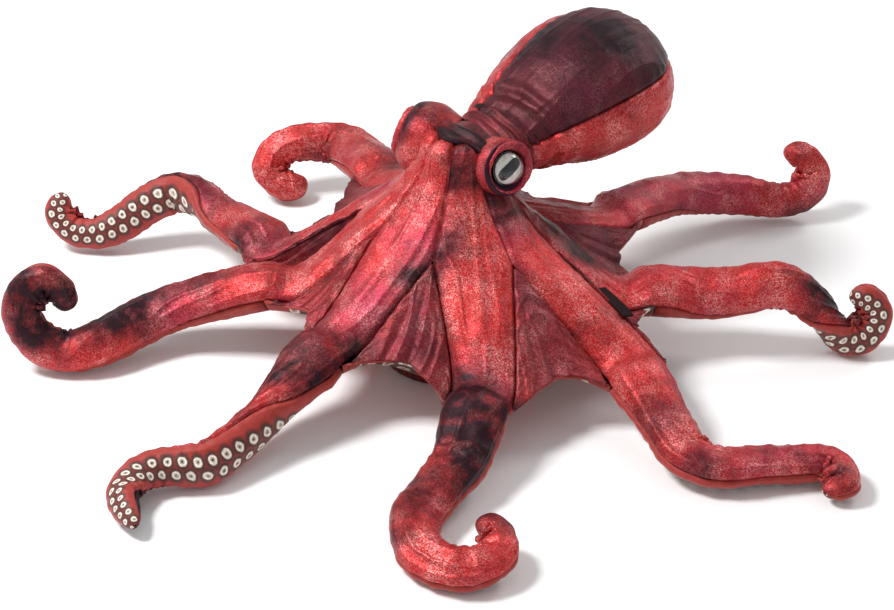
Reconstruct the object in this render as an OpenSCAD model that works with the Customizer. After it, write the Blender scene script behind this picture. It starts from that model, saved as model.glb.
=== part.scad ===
// Plush octopus hand puppet: sewn velour body with eight stuffed arms, a stuffed
// mantle and two plastic eyes, sitting on the hem of its hand opening.
// The octopus faces -Y. Its left side is +X. The floor is z = 0.

/* [Hand opening] */
// Inner radius of the hem that the wrist passes
opening_r = 46; // [40:1:52]
// Thickness of the hem roll, from its bore to its outside
hem_wall = 6; // [4:0.5:9]
// Height of the hem above the floor
hem_h = 12; // [8:1:16]
// Height of the glove lining inside the body
lining_h = 100; // [80:1:108]

/* [Body] */
// Height of the ring where the eight body panels meet under the head
crown_z = 146; // [136:1:150]
// Radius of that ring
crown_r = 34; // [30:1:38]
// How far the ring sits behind the hand opening
crown_back = 28; // [15:1:35]
// How far the ring dips at the back to pass under the mantle
crown_dip = 34; // [30:1:38]
// Thickness of velour with its backing
cloth = 1.8; // [1.2:0.1:2.4]
// How far a body panel swells out between its seams at the crown
panel_swell = 5; // [2:0.5:8]
// How far the seams between body panels sink below their ridges
seam_sink = 2.5; // [0:0.5:6]
// How far up each web's free edge arches between two arms, as a share of its length
web_arch = 0.28; // [0.2:0.01:0.45]

/* [Arms] */
// Width of an arm at its joint with the body
arm_root_w = 46; // [38:1:50]
// Width of an arm near its tip
arm_tip_w = 24; // [20:1:28]
// Thickness of a stuffed arm as a share of its width
arm_flat = 0.72; // [0.6:0.01:0.8]
// Furthest an arm is lifted, in degrees
arm_lift = 45; // [20:1:50]

/* [Head] */
// Radius of the stuffed head under the crown
head_r = 46; // [42:1:50]
// Turn of the head and eyes away from straight ahead, in degrees
head_turn = -20; // [-25:1:0]
// Half the distance between the eyes
eye_span = 41; // [38:1:46]
// How much farther out the right eye bulges
far_eye = 10; // [0:1:14]
// Height of the eyes
eye_z = 152; // [146:1:158]
// Radius of the clear eye domes
eye_r = 12.5; // [9:0.5:14]
// Thickness of the padded socket round an eye
socket_wall = 7.5; // [6:0.5:9]

/* [Mantle] */
// Length of the mantle from its neck fold to its end
mantle_l = 150; // [125:1:180]
// Greatest width of the mantle
mantle_w = 127; // [100:1:140]
// Greatest thickness of the mantle
mantle_h = 104; // [80:1:115]
// Direction the mantle lies in, in degrees from +X
mantle_dir = 63; // [55:1:90]
// Roll of the mantle about its own axis, in degrees
mantle_roll = -19; // [-30:1:10]
// Rise of the mantle above level, in degrees
mantle_rise = 7; // [0:1:15]
// Width of the mantle where it folds at the neck
neck_w = 80; // [60:1:88]
// Thickness of the mantle at that fold
neck_h = 50; // [40:1:56]
// Furthest the mantle is lifted, in degrees
mantle_lift = 30; // [10:1:30]

/* [Hidden] */
// Gap between sewn pieces that lie against each other
seam_gap = 0.3;
// Clearance left round every joint
joint_gap = 0.8;
// Clearance of the stuffing inside its cover
fill_gap = 1.6;
// Rings along an arm and points across one cloth half
arm_rings = 25;
half_points = 5;
// Half angle left open at a side seam
seam_q = 3;
floor_z = 0;
$fn = 64;

// Every arm: its name, the round points that its middle line runs through, and
// for each point the way that its velour side faces.
ARMS = [
    ["left_1",
        [[60, -135, 32], [62, -165, 22], [54, -198, 16], [52, -228, 14], [64, -253, 13], [86, -263, 13],
         [105, -258, 14], [115, -244, 17], [108, -229, 22], [94, -226, 26]],
        [[0, 0, 1], [0, 0, 1], [0, -0.2, 1], [0, -0.2, 1], [0, -0.3, 1], [0, -0.3, 1],
         [0, -0.3, 1], [0, -0.3, 1], [-0.1, -0.3, 1], [-0.2, -0.3, 1]]],
    ["left_2",
        [[165, -60, 34], [188, -85, 24], [206, -102, 18], [230, -104, 15], [255, -91, 14], [280, -79, 13],
         [300, -74, 12], [310, -90, 11], [300, -104, 10]],
        [[0, 0, 1], [0, 0, 1], [0, 0, 1], [0, 0, 1], [0, 0, 1], [0, 0, 1], [0, 0, 1], [0, 0, 1], [0, 0, 1]]],
    ["left_3",
        [[150, 52, 48], [172, 62, 45], [200, 68, 49], [226, 76, 54], [244, 80, 49], [260, 83, 36],
         [271, 83, 24], [282, 85, 16], [293, 89, 17], [300, 94, 27], [299, 96, 38], [290, 94, 46],
         [279, 92, 47]],
        [[0, 0, 1], [0, -0.4, 0.9], [0.1, -0.6, 0.8], [0.2, -0.8, 0.6], [0.4, -0.6, 0.7], [0.6, -0.1, 0.6],
         [0.3, 0.6, 0.4], [-0.1, 0.85, 0.1], [-0.25, 0.85, -0.1], [-0.25, 0.85, -0.1], [-0.25, 0.85, -0.1],
         [-0.25, 0.85, -0.1], [-0.25, 0.85, -0.1]]],
    ["left_4",
        [[95, 155, 54], [114, 200, 44], [134, 232, 34], [165, 257, 24], [195, 270, 18], [215, 280, 25],
         [217, 288, 39], [207, 287, 51], [191, 285, 56]],
        [[0, 0, 1], [0.1, -0.4, 0.9], [0.2, -0.7, 0.7], [0.2, -0.75, 0.6], [0.25, -0.8, 0.5], [0.25, -0.85, 0.4],
         [0.25, -0.85, 0.35], [0.25, -0.85, 0.35], [0.25, -0.85, 0.35]]],
    ["right_4",
        [[-115, 150, 58], [-145, 186, 48], [-165, 200, 44], [-180, 199, 44], [-196, 193, 44], [-209, 185, 41],
         [-216, 177, 33], [-215, 170, 24], [-206, 168, 17], [-194, 171, 15], [-184, 176, 19]],
        [[0, 0, 1], [0.1, -0.4, 0.9], [0.2, -0.6, 0.8], [0.2, -0.7, 0.7], [0.2, -0.7, 0.7], [0.2, -0.7, 0.7],
         [0.2, -0.7, 0.7], [0.2, -0.7, 0.7], [0.2, -0.7, 0.7], [0.2, -0.7, 0.7], [0.2, -0.7, 0.7]]],
    ["right_3",
        [[-170, 32, 50], [-205, 55, 46], [-230, 70, 50], [-255, 78, 48], [-275, 70, 38], [-293, 58, 25],
         [-312, 46, 17], [-332, 42, 19], [-343, 45, 31], [-341, 50, 46]],
        [[0, 0, 1], [0, 0.4, 0.9], [0, 0.8, 0.4], [-0.1, 0.9, 0], [-0.1, 0.9, -0.2], [-0.1, 0.9, -0.3],
         [-0.1, 0.9, -0.3], [-0.1, 0.9, -0.3], [-0.1, 0.9, -0.3], [-0.1, 0.9, -0.3]]],
    ["right_2",
        [[-140, -40, 48], [-170, -47, 39], [-200, -58, 30], [-220, -80, 24], [-238, -106, 20],
         [-257, -118, 17], [-274, -121, 24], [-286, -121, 38], [-290, -118, 52], [-285, -113, 63],
         [-275, -108, 68], [-265, -106, 64], [-260, -107, 55], [-259, -109, 46]],
        [[0, 0, 1], [0, -0.2, 1], [0.1, -0.4, 0.9], [0.2, -0.6, 0.8], [0.2, -0.6, 0.8], [0.25, -0.7, 0.6],
         [0.25, -0.85, 0.3], [0.25, -0.85, 0.3], [0.25, -0.85, 0.3], [0.25, -0.85, 0.3], [0.25, -0.85, 0.3],
         [0.25, -0.85, 0.3], [0.25, -0.85, 0.3], [0.25, -0.85, 0.3]]],
    ["right_1",
        [[-65, -120, 44], [-75, -143, 34], [-83, -165, 26], [-91, -190, 21], [-102, -212, 18], [-118, -221, 17],
         [-133, -228, 16], [-143, -242, 15], [-142, -262, 13], [-122, -286, 12]],
        [[0, 0, 1], [-0.4, 0.1, 0.9], [-0.8, 0.3, 0.4], [-0.8, 0.6, 0], [-0.5, 0.8, -0.2], [-0.3, 0.8, -0.4],
         [-0.2, 0.8, -0.5], [-0.1, 0.8, -0.5], [0, 0.8, -0.5], [0, 0.8, -0.5]]],
];
ARM_NAMES = [for (a = ARMS) a[0]];
function web_name(i) = str("web_", ARM_NAMES[i], "_to_", ARM_NAMES[(i + 1) % 8]);
WEB_NAMES = [for (i = [0:7]) web_name(i)];

// ---- Vectors, and a smooth line through a list of points ----
up = [0, 0, 1];
function unit(v) = v / norm(v);
function mix(a, b, t) = a * (1 - t) + b * t;
function flatten(rows) = [for (r = rows) each r];
function line_at(p, t) = let(
    n = len(p) - 1,
    i = min(floor(t * n), n - 1),
    u = t * n - i,
    b = p[i],
    c = p[i + 1],
    a = i > 0 ? p[i - 1] : 2 * b - c,
    d = i < n - 1 ? p[i + 2] : 2 * c - b
) 0.5 * (2 * b + (c - a) * u + (2 * a - 5 * b + 4 * c - d) * u * u + (3 * b - a - 3 * c + d) * u * u * u);

// A closed solid from rings of an even number of points: its sides, and a strip of faces over each end
module ring_solid(rings) {
    n = len(rings[0]);
    last = len(rings) - 1;
    sides = [for (r = [0:last - 1], k = [0:n - 1]) each [
        [r * n + k, (r + 1) * n + (k + 1) % n, r * n + (k + 1) % n],
        [r * n + k, (r + 1) * n + k, (r + 1) * n + (k + 1) % n]]];
    ends = [for (k = [0:n / 2 - 2]) let(a = k, b = n - 1 - k, c = last * n + k, d = last * n + n - 1 - k) each [
        [a, a + 1, b], [a + 1, b - 1, b], [c, d, c + 1], [c + 1, d, d - 1]]];
    polyhedron(flatten(rings), concat(sides, ends), convexity = 6);
}

// ---- Arms ----
arm_half_h = arm_root_w / 2 * arm_flat;
arm_fill = arm_half_h - cloth - fill_gap;
seat_r = arm_half_h / cos(arm_lift / 2) + joint_gap;
// How far behind its joint an arm's body panel stops
shoulder_back = sqrt(pow(seat_r, 2) - pow(arm_half_h - cloth, 2));

// Middle, sideways and face directions of arm a at t, 0 at its joint and 1 at its tip
function arm_frame(a, t) = let(
    e = 0.01,
    m = line_at(a[1], t),
    along = unit(line_at(a[1], min(t + e, 1)) - line_at(a[1], max(t - e, 0))),
    facing = line_at(a[2], t),
    n = unit(facing - (facing * along) * along)
) [m, cross(along, n), n, along];
function arm_half_w(t) = mix(arm_root_w, arm_tip_w, pow(t, 0.6)) / 2;
// The last eighth of an arm rounds off to its tip
function tip_round(t) = sqrt(1 - pow(max(0, (t - 0.87) / 0.135), 2));
ARM_STEPS = [for (k = [0:arm_rings]) 1 - pow(1 - k / arm_rings, 1.15)];

// One arc of an arm's cross-section, from angle a0 to a1 round the middle line
function arm_arc(f, w, h, a0, a1, n) = [for (k = [0:n])
    let(q = mix(a0, a1, k / n)) f[0] + w * cos(q) * f[1] + h * sin(q) * f[2]];

// Half of the arm's cover: side = 1 is the velour top, side = -1 the sucker print
module arm_cover(a, side) {
    rings = [for (t = ARM_STEPS) let(
        f = arm_frame(a, t),
        w = arm_half_w(t) * tip_round(t),
        h = arm_half_w(t) * arm_flat * tip_round(t),
        thick = cloth * tip_round(t)
    ) concat(
        arm_arc(f, w, h, side * seam_q, side * (180 - seam_q), half_points),
        arm_arc(f, w - thick, h - thick, side * (180 - seam_q), side * seam_q, half_points))];
    ring_solid(side > 0 ? [for (r = rings) [for (k = [len(r) - 1:-1:0]) r[k]]] : rings);
}

function fill_ring(f, w, h) = concat(
    arm_arc(f, w, h, seam_q, 180 - seam_q, half_points),
    arm_arc(f, w, h, 180 + seam_q, 360 - seam_q, half_points));
// Stuffing: fills the cover and ends in a round knuckle about the joint's axis
module arm_stuffing(a) {
    f0 = arm_frame(a, 0);
    w0 = arm_half_w(0) - cloth - fill_gap;
    back = [for (q = [75, 50, 25]) let(
        f = [f0[0] - arm_fill * sin(q) * f0[3], f0[1], f0[2]]
    ) fill_ring(f, w0 - 6 * sin(q), arm_fill * cos(q))];
    run = [for (t = ARM_STEPS) let(
        f = arm_frame(a, t),
        k = tip_round(t),
        w = max((arm_half_w(t) - cloth - fill_gap) * k - 1 + k, 0.8),
        h = max((arm_half_w(t) * arm_flat - cloth - fill_gap) * k - 1 + k, 0.5)
    ) fill_ring(f, w, h)];
    color("ivory") ring_solid([for (r = concat(back, run)) [for (k = [len(r) - 1:-1:0]) r[k]]]);
}
module arm_top(a) { color("firebrick") arm_cover(a, 1); }
module arm_under(a) { color("sienna") arm_cover(a, -1); }

// ---- Body panels: a strip from the crown ring down to each arm's shoulder ----
head_centre = [0, crown_back, 0];
function base_turn(i) = 292.5 + 45 * i;
function level(turn) = [cos(turn), sin(turn), 0];
// The ridge of panel i is one cubic curve that ends in line with its arm
function ridge(i, s) = let(
    f = arm_frame(ARMS[i], 0),
    out = level(base_turn(i)),
    dip = crown_dip * max(0, out * level(mantle_dir)),
    a = head_centre + crown_r * out + (crown_z - dip) * up,
    b = a + 20 * out - 30 * up,
    d = f[0] - shoulder_back * f[3] + arm_half_h * f[2],
    c = d - 46 * f[3]
) a * pow(1 - s, 3) + 3 * b * s * pow(1 - s, 2) + 3 * c * s * s * (1 - s) + d * pow(s, 3);
// Panels i and i + 1 are sewn together from the crown ring down to an apex,
// and from there each is sewn to the web between them
apex_down = 0.42;
function shared_seam(i, t) = mix(ridge(i, apex_down * t), ridge((i + 1) % 8, apex_down * t), 0.5)
    - seam_sink * t * up;
seam_split = 1 / 3;
// The side seam of panel i: side = -1 is shared with web i, side = 1 with the web before it
function seam(i, side, s) = let(
    f = arm_frame(ARMS[i], 0),
    k = side > 0 ? (i + 7) % 8 : i,
    end = f[0] - shoulder_back * f[3] + side * arm_root_w / 2 * f[1]
) s < seam_split ? shared_seam(k, s / seam_split)
    : line_at([shared_seam(k, 1), end - 30 * f[3], end], (s - seam_split) / (1 - seam_split));
// Middle, sideways, outward and downhill directions of panel i, and its half width
function panel_frame(i, s) = let(
    e = 0.01,
    r = seam(i, 1, s),
    l = seam(i, -1, s),
    s0 = max(s - e, 0),
    s1 = min(s + e, 1),
    along = unit(seam(i, 1, s1) + seam(i, -1, s1) - seam(i, 1, s0) - seam(i, -1, s0)),
    across = unit(r - l)
) [(l + r) / 2, across, unit(cross(across, along)), along, norm(r - l) / 2];
// A point on panel i: s runs down it, q = 0 and 180 are its two side seams
function panel_point(i, s, q, inset) = let(
    f = panel_frame(i, s),
    h = mix(panel_swell, arm_half_h, pow(s, 2.4)),
    w = f[4] - seam_gap - inset * 0.7
) f[0] + w * cos(q) * f[1] + (h * sin(q) - inset) * f[2];
PANEL_STEPS = [for (k = [0:12]) k / 12];
module body_panel(i) {
    rings = [for (s = PANEL_STEPS) concat(
        [for (k = [0:6]) panel_point(i, s, 30 * k, 0)],
        [for (k = [6:-1:0]) panel_point(i, s, 30 * k, cloth)])];
    solid = [for (r = rings) [for (k = [len(r) - 1:-1:0]) r[k]]];
    color("crimson") {
        if (i >= 2 && i <= 4) ring_solid(solid);
        else difference() {
            ring_solid(solid);
            panel_cutter();
        }
    }
}
// A twelve-sided cutter that clears both eye sockets. The three panels under the mantle stop below it.
module panel_cutter() {
    eye_frames() translate([0, 0, -60]) cylinder(r = (socket_r + seam_gap) / cos(15), h = 90, $fn = 12);
}

// ---- Webs: the gussets between neighbouring body panels ----
web_top = 0.37;
web_end = 0.97;
web_bulge = 0.04;
function web_low(u) = web_end - web_arch * pow(4 * u * (1 - u), 0.6);
// A point on web i: u runs across from panel i to the next, v down to the free edge
function web_point(i, u, v) = let(
    s = mix(web_top, web_low(u), v),
    a = seam(i, -1, s),
    b = seam((i + 1) % 8, 1, s),
    m = mix(a, b, u)
) m - inward(m) * norm(b - a) * web_bulge * 4 * u * (1 - u);
function inward(p) = unit([-p[0], crown_back - p[1], -60]);
// Clear of the seams on both sides by the same gap all the way down
function web_u(i, k, v) = let(
    s = mix(web_top, web_end, v),
    e = 4 * seam_gap / norm(seam(i, -1, s) - seam((i + 1) % 8, 1, s))
) mix(e, 1 - e, k / 6);
// The direction a web's thickness runs at its row j and column k: inward at its seams, square to it between
function web_back(rows, j, k) = unit(inward(rows[j][k]) + 2 * sin(30 * k) * unit(cross(
    rows[j][min(k + 1, 6)] - rows[j][max(k - 1, 0)],
    rows[min(j + 1, 6)][k] - rows[max(j - 1, 0)][k])));
module web(i) {
    rows = [for (j = [0:6]) [for (k = [0:6]) web_point(i, web_u(i, k, j / 6), j / 6)]];
    rings = [for (j = [0:6]) concat(
        rows[j],
        [for (k = [6:-1:0]) rows[j][k] + web_back(rows, j, k) * cloth])];
    color("darkred") ring_solid([for (r = rings) [for (k = [len(r) - 1:-1:0]) r[k]]]);
}

// ---- Underside, hem, lining and stuffing ----
hem_out = opening_r + hem_wall;
under_drop = cloth + 1.8;
// The underside's outer edge follows the shoulders and the webs' free edges
function under_edge(i) = concat(
    [seam(i, 1, web_end), seam(i, 1, 1),
     panel_point(i, 1, 90, 0) - 2 * arm_half_h * panel_frame(i, 1)[2],
     seam(i, -1, 1), seam(i, -1, web_end)],
    [for (u = [0.25, 0.5, 0.75]) web_point(i, u, 1)]);
UNDER_EDGE = [for (i = [0:7]) each [for (p = under_edge(i)) p - under_drop * up]];
module underside_panel() {
    n = len(UNDER_EDGE);
    inner = [for (p = UNDER_EDGE) let(d = unit([p[0], p[1], 0])) d * (hem_out + 1) + [0, 0, hem_h * 0.6]];
    rows = [for (v = [0, 0.35, 0.7, 1]) [for (k = [0:n - 1]) mix(inner[k], UNDER_EDGE[k], v) + up * 10 * v * (1 - v)]];
    m = len(rows);
    pts = concat(flatten(rows), [for (r = rows) each [for (p = r) p - cloth * up]]);
    low = m * n;
    faces = concat(
        [for (r = [0:m - 2], k = [0:n - 1]) let(a = r * n + k, b = r * n + (k + 1) % n) each [
            [a, a + n, b], [b, a + n, b + n],
            [low + a, low + b, low + a + n], [low + b, low + b + n, low + a + n]]],
        [for (k = [0:n - 1]) let(a = k, b = (k + 1) % n, c = (m - 1) * n + k, d = (m - 1) * n + (k + 1) % n) each [
            [a, b, low + a], [b, low + b, low + a],
            [c, low + c, d], [d, low + c, low + d]]]);
    color("saddlebrown") polyhedron(pts, faces, convexity = 10);
}
module hem_roll() {
    round_r = hem_wall / 3;
    color("maroon") rotate_extrude() translate([opening_r, 0]) difference() {
        square([hem_wall, hem_h]);
        translate([hem_wall - round_r, 0]) difference() {
            square([round_r, round_r]);
            translate([0, round_r]) circle(r = round_r);
        }
    }
}
lining_top_r = opening_r * 0.55;
module hand_lining() {
    out = [[opening_r + cloth, hem_h], [opening_r - 4, 50], [lining_top_r + 6, lining_h - 16], [lining_top_r - 8, lining_h], [0, lining_h]];
    in = [[0, lining_h - cloth], [lining_top_r - 8.6, lining_h - cloth], [lining_top_r + 6 - cloth, lining_h - 17],
        [opening_r - 4 - cloth, 50], [opening_r, hem_h]];
    color("dimgray") rotate_extrude() polygon(concat(out, in));
}
// A stuffing ring between the lining and the body panels, and a ball in the head
module body_stuffing() {
    color("ivory") {
        rotate_extrude() polygon([[opening_r + cloth + seam_gap, hem_h + seam_gap], [opening_r - 4 + seam_gap, 50],
            [lining_top_r + 6.4, lining_h - 16], [lining_top_r + 14, lining_h - 16], [opening_r + 12, 50],
            [opening_r + 12, hem_h + 14]]);
        difference() {
            translate([0, crown_back - 4, crown_z - 16]) sphere(r = 22);
            neck_seat();
        }
    }
}

// ---- Head and eyes ----
socket_r = eye_r + socket_wall;
head_ball = [0, crown_back, crown_z - 20];
module head_cap() {
    color("darkred") difference() {
        translate(head_ball) sphere(r = head_r);
        translate(head_ball) sphere(r = head_r - cloth);
        cylinder(r = 200, h = crown_z + seam_gap);
        neck_seat();
        eye_room();
    }
}
module eye_room() {
    eye_frames() translate([0, 0, -30]) cylinder(r = socket_r + seam_gap, h = 50);
}
// Room for the round end of the mantle to turn in
module neck_seat() {
    translate(mantle_root) rotate([0, 0, mantle_dir]) rotate([90, 0, 0])
        cylinder(r = neck_seat_r, h = 2 * neck_w, center = true);
}
// Each eye's own frame, +Z out of the head: forward 17 degrees and up 13
eye_forward = 17;
eye_up = 13;
module eye_frame(side) {
    turn = head_turn + (side > 0 ? 0 : 180);
    span = eye_span + (side > 0 ? 0 : far_eye);
    translate([0, crown_back, eye_z] + span * [cos(turn), sin(turn), 0])
        rotate([0, 0, turn - side * eye_forward]) rotate([0, 90 - eye_up, 0]) children();
}
module eye_frames() { for (side = [1, -1]) eye_frame(side) children(); }
// The shank passes the felt seat of the socket and a washer grips it behind
eye_back_h = 1.5;
seat_h = 3;
shank_r = 2.5;
shank_l = 9;
washer_h = 1.2;
module eye_socket(side) {
    color("purple") difference() {
        socket_cup(side);
        neck_seat();
    }
}
module socket_cup(side) {
    eye_frame(side) difference() {
        translate([0, 0, -18]) cylinder(r1 = socket_r, r2 = socket_r - 2, h = 19);
        translate([0, 0, -eye_back_h]) cylinder(r = eye_r + seam_gap, h = 10);
        translate([0, 0, -eye_back_h - seat_h - 20]) cylinder(r = eye_r, h = 20);
        translate([0, 0, -10]) cylinder(r = shank_r, h = 20);
    }
}
module eyelid(side) {
    lid_r = 3.8;
    color("crimson") eye_frame(side) translate([0, 0, 1 + lid_r]) rotate_extrude()
        translate([eye_r + seam_gap + lid_r, 0]) circle(r = lid_r, $fn = 24);
}
iris_h = 0.8;
pupil_h = 0.6;
module eye_domes() {
    color("lightcyan") eye_frames() difference() {
        sphere(r = eye_r);
        translate([0, 0, -2 * eye_r]) cylinder(r = 2 * eye_r, h = 2 * eye_r);
        translate([0, 0, -1]) cylinder(r = eye_r - 1.5, h = 1 + iris_h + pupil_h);
    }
}
module eye_irises() { color("wheat") eye_frames() cylinder(r = eye_r - 1.5, h = iris_h); }
module eye_pupils() {
    bar_r = eye_r * 0.3;
    color("black") eye_frames() translate([0, 0, iris_h]) rotate([0, 0, 115])
        translate([-eye_r * 0.7, -bar_r, 0]) cube([eye_r * 1.4, 2 * bar_r, pupil_h]);
}
module eye_backs() {
    color("black") eye_frames() {
        translate([0, 0, -eye_back_h]) cylinder(r = eye_r, h = eye_back_h);
        translate([0, 0, -eye_back_h - shank_l]) cylinder(r = shank_r, h = shank_l);
    }
}
module eye_washers() {
    color("white") eye_frames() translate([0, 0, -eye_back_h - seat_h - washer_h]) difference() {
        cylinder(r = eye_r - 4, h = washer_h);
        translate([0, 0, -1]) cylinder(r = shank_r, h = washer_h + 2);
    }
}

// ---- Strap across the web between the second and third left arms ----
strap_down = 0.58;
module web_strap() {
    a = seam(1, -1, strap_down);
    b = seam(2, 1, strap_down);
    lift = [0.6, -0.2, 0.75] * 4;
    across = 5 * unit(cross(b - a, lift));
    thick = 1.2 * unit(lift);
    rings = [for (t = [0, 0.5, 1]) let(m = mix(a, b, t) + lift * (1.4 + 1.6 * t * (1 - t)))
        [m - across, m + across, m + across + thick, m - across + thick]];
    color("black") ring_solid(rings);
}

// ---- Mantle: a stuffed egg of four cloth pieces, hinged at the neck fold ----
mantle_axis = [cos(mantle_dir) * cos(mantle_rise), sin(mantle_dir) * cos(mantle_rise), sin(mantle_rise)];
mantle_side = unit(cross(mantle_axis, up));
mantle_up = cross(mantle_side, mantle_axis);
mantle_root = [0, crown_back, eye_z - 2] + 48 * [cos(mantle_dir), sin(mantle_dir), 0];
neck_seat_r = neck_h / 2 / cos(mantle_lift / 2) + joint_gap;
// Half of the width or thickness along the mantle: 0 at the neck, 1 at the far end
widest = 0.56;
function mantle_half(t, neck, full) = t < widest
    ? mix(neck, full, sin(90 * t / widest)) / 2
    : full / 2 * sqrt(1 - pow((t - widest) / (1.002 - widest), 2.4));
MANTLE_STEPS = [0, 0.04, 0.09, 0.15, 0.24, 0.35, 0.48, 0.6, 0.72, 0.82, 0.9, 0.955, 0.99];
function mantle_point(t, q, inset) = mantle_root + t * mantle_l * mantle_axis
    + max(mantle_half(t, neck_w, mantle_w) - inset, 0.5) * cos(q) * mantle_side
    + max(mantle_half(t, neck_h, mantle_h) - inset, 0.5) * sin(q) * mantle_up;
module mantle_strip(q0, q1, n) {
    ring_solid([for (t = MANTLE_STEPS) concat(
        [for (k = [0:n]) mantle_point(t, mantle_roll + mix(q0, q1, k / n), 0)],
        [for (k = [n:-1:0]) mantle_point(t, mantle_roll + mix(q0, q1, k / n), cloth)])]);
}
gusset_top = 38;
gusset_low = -24;
module mantle_back_panel() { color("#4a1c2c") mantle_strip(gusset_top + seam_q, 180 - gusset_top - seam_q, 8); }
module mantle_belly_panel() { color("firebrick") mantle_strip(180 - gusset_low + seam_q, 360 + gusset_low - seam_q, 8); }
module mantle_side_gusset() {
    color("red") {
        mantle_strip(gusset_low + seam_q, gusset_top - seam_q, 5);
        mantle_strip(180 - gusset_top + seam_q, 180 - gusset_low - seam_q, 5);
    }
}
module mantle_stuffing() {
    n = 16;
    inset = cloth + fill_gap;
    root_w = neck_w / 2 - inset;
    root_h = neck_h / 2 - inset;
    back = [for (q = [80, 60, 40, 20]) [for (k = [0:n - 1]) mantle_root - root_h * sin(q) * mantle_axis
        + (root_w - root_h * (1 - cos(q))) * cos(360 * k / n) * mantle_side
        + root_h * cos(q) * sin(360 * k / n) * mantle_up]];
    run = [for (t = MANTLE_STEPS) [for (k = [0:n - 1]) mantle_point(min(t, 0.975), 360 * k / n, inset)]];
    color("ivory") ring_solid(concat(back, run));
}

for (i = [0:7]) {
    body_panel(i);
    web(i);
    arm_top(ARMS[i]);
    arm_under(ARMS[i]);
    arm_stuffing(ARMS[i]);
}
underside_panel();
hem_roll();
hand_lining();
body_stuffing();
head_cap();
eyelid(1);  // eyelid_left
eyelid(-1);  // eyelid_right
eye_socket(1);  // eye_socket_left
eye_socket(-1);  // eye_socket_right
eye_domes();
eye_irises();
eye_pupils();
eye_backs();
eye_washers();
web_strap();
mantle_back_panel();
mantle_side_gusset();
mantle_belly_panel();
mantle_stuffing();
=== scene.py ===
import math

import bpy
import numpy as np
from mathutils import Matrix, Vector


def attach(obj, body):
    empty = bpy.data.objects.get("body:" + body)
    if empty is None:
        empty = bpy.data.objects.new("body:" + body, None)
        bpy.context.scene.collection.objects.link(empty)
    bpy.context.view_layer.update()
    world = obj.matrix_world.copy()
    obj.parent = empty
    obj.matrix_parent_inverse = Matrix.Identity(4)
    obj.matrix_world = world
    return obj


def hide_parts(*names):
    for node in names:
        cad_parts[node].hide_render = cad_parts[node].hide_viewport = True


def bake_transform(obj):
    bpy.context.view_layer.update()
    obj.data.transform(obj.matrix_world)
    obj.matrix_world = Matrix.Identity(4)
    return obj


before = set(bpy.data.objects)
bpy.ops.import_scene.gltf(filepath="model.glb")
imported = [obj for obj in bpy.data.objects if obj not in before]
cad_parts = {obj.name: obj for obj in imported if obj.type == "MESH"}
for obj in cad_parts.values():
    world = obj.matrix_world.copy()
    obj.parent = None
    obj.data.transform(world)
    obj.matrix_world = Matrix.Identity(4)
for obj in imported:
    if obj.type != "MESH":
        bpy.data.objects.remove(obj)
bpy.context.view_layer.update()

# ---- Table, light and camera ----
# The toy sits on a plain white table under one wide soft lamp and a bright white room, seen from its
# front left and a little above.


def colour(hex_value):
    """The linear RGBA of an sRGB hex value."""
    parts = [int(hex_value[k:k + 2], 16) / 255 for k in (1, 3, 5)]
    return [p / 12.92 if p <= 0.04045 else ((p + 0.055) / 1.055) ** 2.4 for p in parts] + [1.0]


def node(tree, kind, inputs=None, **settings):
    """Adds a node, sets its properties, and sets or links its inputs by name or number."""
    made = tree.nodes.new(kind)
    for key, value in settings.items():
        setattr(made, key, value)
    for key, value in (inputs or {}).items():
        if isinstance(value, bpy.types.NodeSocket):
            tree.links.new(value, made.inputs[key])
        else:
            made.inputs[key].default_value = value
    return made


def new_material(name):
    """An empty node material and its tree and output node."""
    made = bpy.data.materials.new(name)
    made.use_nodes = True
    made.node_tree.nodes.clear()
    return made, made.node_tree, made.node_tree.nodes.new("ShaderNodeOutputMaterial")


def painted_table():
    """Matt white laminate, so even that only the shadows mark it."""
    made, tree, out = new_material("white_table")
    paint = node(tree, "ShaderNodeBsdfPrincipled",
                 {"Base Color": colour("#fbfbfb"), "Roughness": 0.85, "Specular IOR Level": 0.15})
    tree.links.new(paint.outputs[0], out.inputs[0])
    return made


bpy.ops.mesh.primitive_plane_add(size=14, location=(0, 3, 0))
table_top = bpy.context.object
table_top.name = "table_top"
table_top.data.materials.append(painted_table())

room = bpy.data.worlds.new("white_room")
room.use_nodes = True
room.node_tree.nodes["Background"].inputs[0].default_value = colour("#ffffff")
room.node_tree.nodes["Background"].inputs[1].default_value = 0.5
bpy.context.scene.world = room
bpy.context.scene.view_settings.view_transform = "Standard"


def soft_lamp(name, place, aim, size, power):
    """A square lamp that faces the point aim."""
    data = bpy.data.lights.new(name, "AREA")
    data.size = size
    data.energy = power
    lamp = bpy.data.objects.new(name, data)
    bpy.context.collection.objects.link(lamp)
    lamp.location = place
    toward = Vector(aim) - Vector(place)
    lamp.rotation_euler = toward.to_track_quat("-Z", "Y").to_euler()
    return lamp


soft_lamp("key_lamp", (-1.0, -0.4, 1.6), (0, 0, 0.08), 0.5, 35)
soft_lamp("rim_lamp", (0.8, 1.3, 1.2), (0, 0, 0.1), 0.5, 8)

VIEW_TURN = math.radians(18.5)
VIEW_RISE = math.radians(32)
VIEW_AWAY = 1.65
VIEW_AIM = Vector((0, 0, 0.038))
camera_back = Vector((math.sin(VIEW_TURN) * math.cos(VIEW_RISE),
                         -math.cos(VIEW_TURN) * math.cos(VIEW_RISE), math.sin(VIEW_RISE)))
camera_data = bpy.data.cameras.new("view")
camera_data.lens = 90
camera_data.sensor_width = 36
camera_data.shift_x = -0.0034
camera = bpy.data.objects.new("view", camera_data)
bpy.context.collection.objects.link(camera)
camera.location = VIEW_AIM + camera_back * VIEW_AWAY
camera.rotation_euler = (-camera_back).to_track_quat("-Z", "Y").to_euler()
bpy.context.scene.camera = camera

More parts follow.
